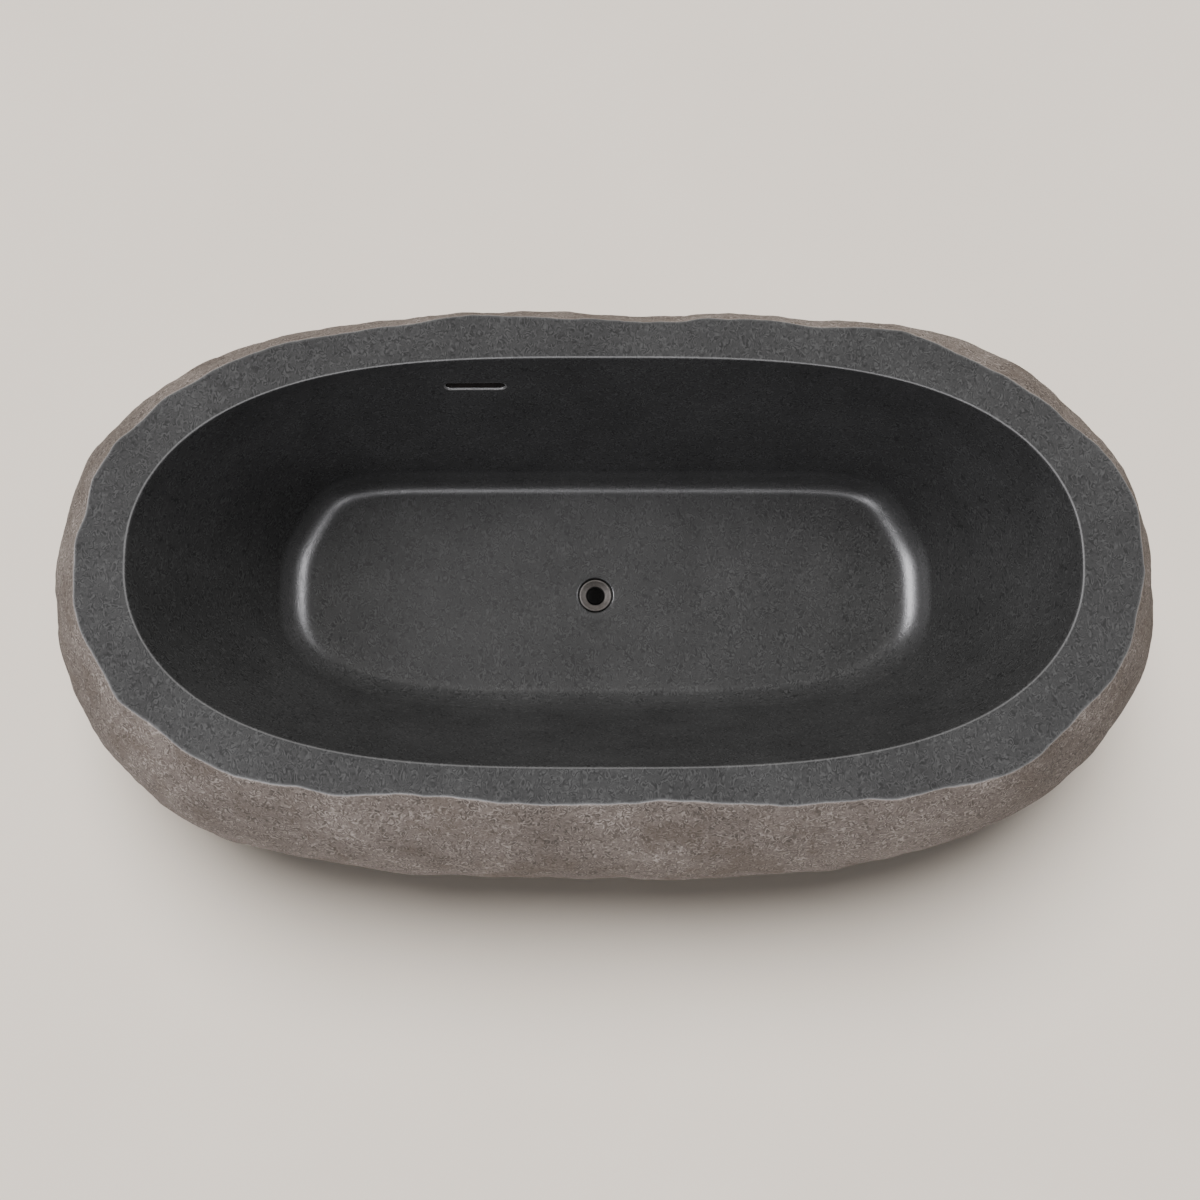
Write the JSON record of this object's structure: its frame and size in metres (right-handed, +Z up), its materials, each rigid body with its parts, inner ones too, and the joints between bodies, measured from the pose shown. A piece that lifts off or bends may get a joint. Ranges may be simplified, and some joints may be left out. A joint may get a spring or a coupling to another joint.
{
  "type": "bathtub",
  "caption": "Freestanding bathtub carved from one boulder: rough skin, flat honed rim, oval basin, slot overflow in the wall and a push-to-open waste in the floor.",
  "frame": {"origin": "middle of the tub's bounding box, on the floor that its sawn base stands on", "axes": "+X along the tub, +Y to the back wall that holds the overflow slot, +Z up"},
  "size_m": [1.984, 1.03, 0.57],
  "materials": {
    "basalt": "honed dark basalt, with the boulder's own warm grey skin outside",
    "gunmetal": "dark bronze plated brass, satin",
    "brass": "cast and turned brass, unplated",
    "rubber": "black rubber",
    "steel": "stainless steel"
  },
  "bodies": {
    "tub": {"stone_tub": "basalt", "waste_flange": "gunmetal", "waste_body": "brass", "tail_nut": "brass", "tail_pipe": "brass", "flange_seal": "rubber", "body_seal": "rubber", "tail_seal": "rubber", "stopper_cartridge": "brass", "cartridge_nut": "brass", "stopper_spring": "steel", "overflow_elbow": "brass", "elbow_seal": "rubber", "overflow_hose": "rubber", "hose_clamp_waste": "steel", "hose_clamp_elbow": "steel", "clamp_screw_waste": "steel", "clamp_screw_elbow": "steel"},
    "stopper": {"stopper_cap": "gunmetal", "stopper_seal": "rubber", "stopper_stem": "brass"}
  },
  "joints": [
    {"name": "stopper_lift", "type": "slide", "parent": "tub", "child": "stopper", "axis": [0, 0, 1], "range_m": [0, 0.0085], "deforming": ["stopper_spring"]}
  ]
}
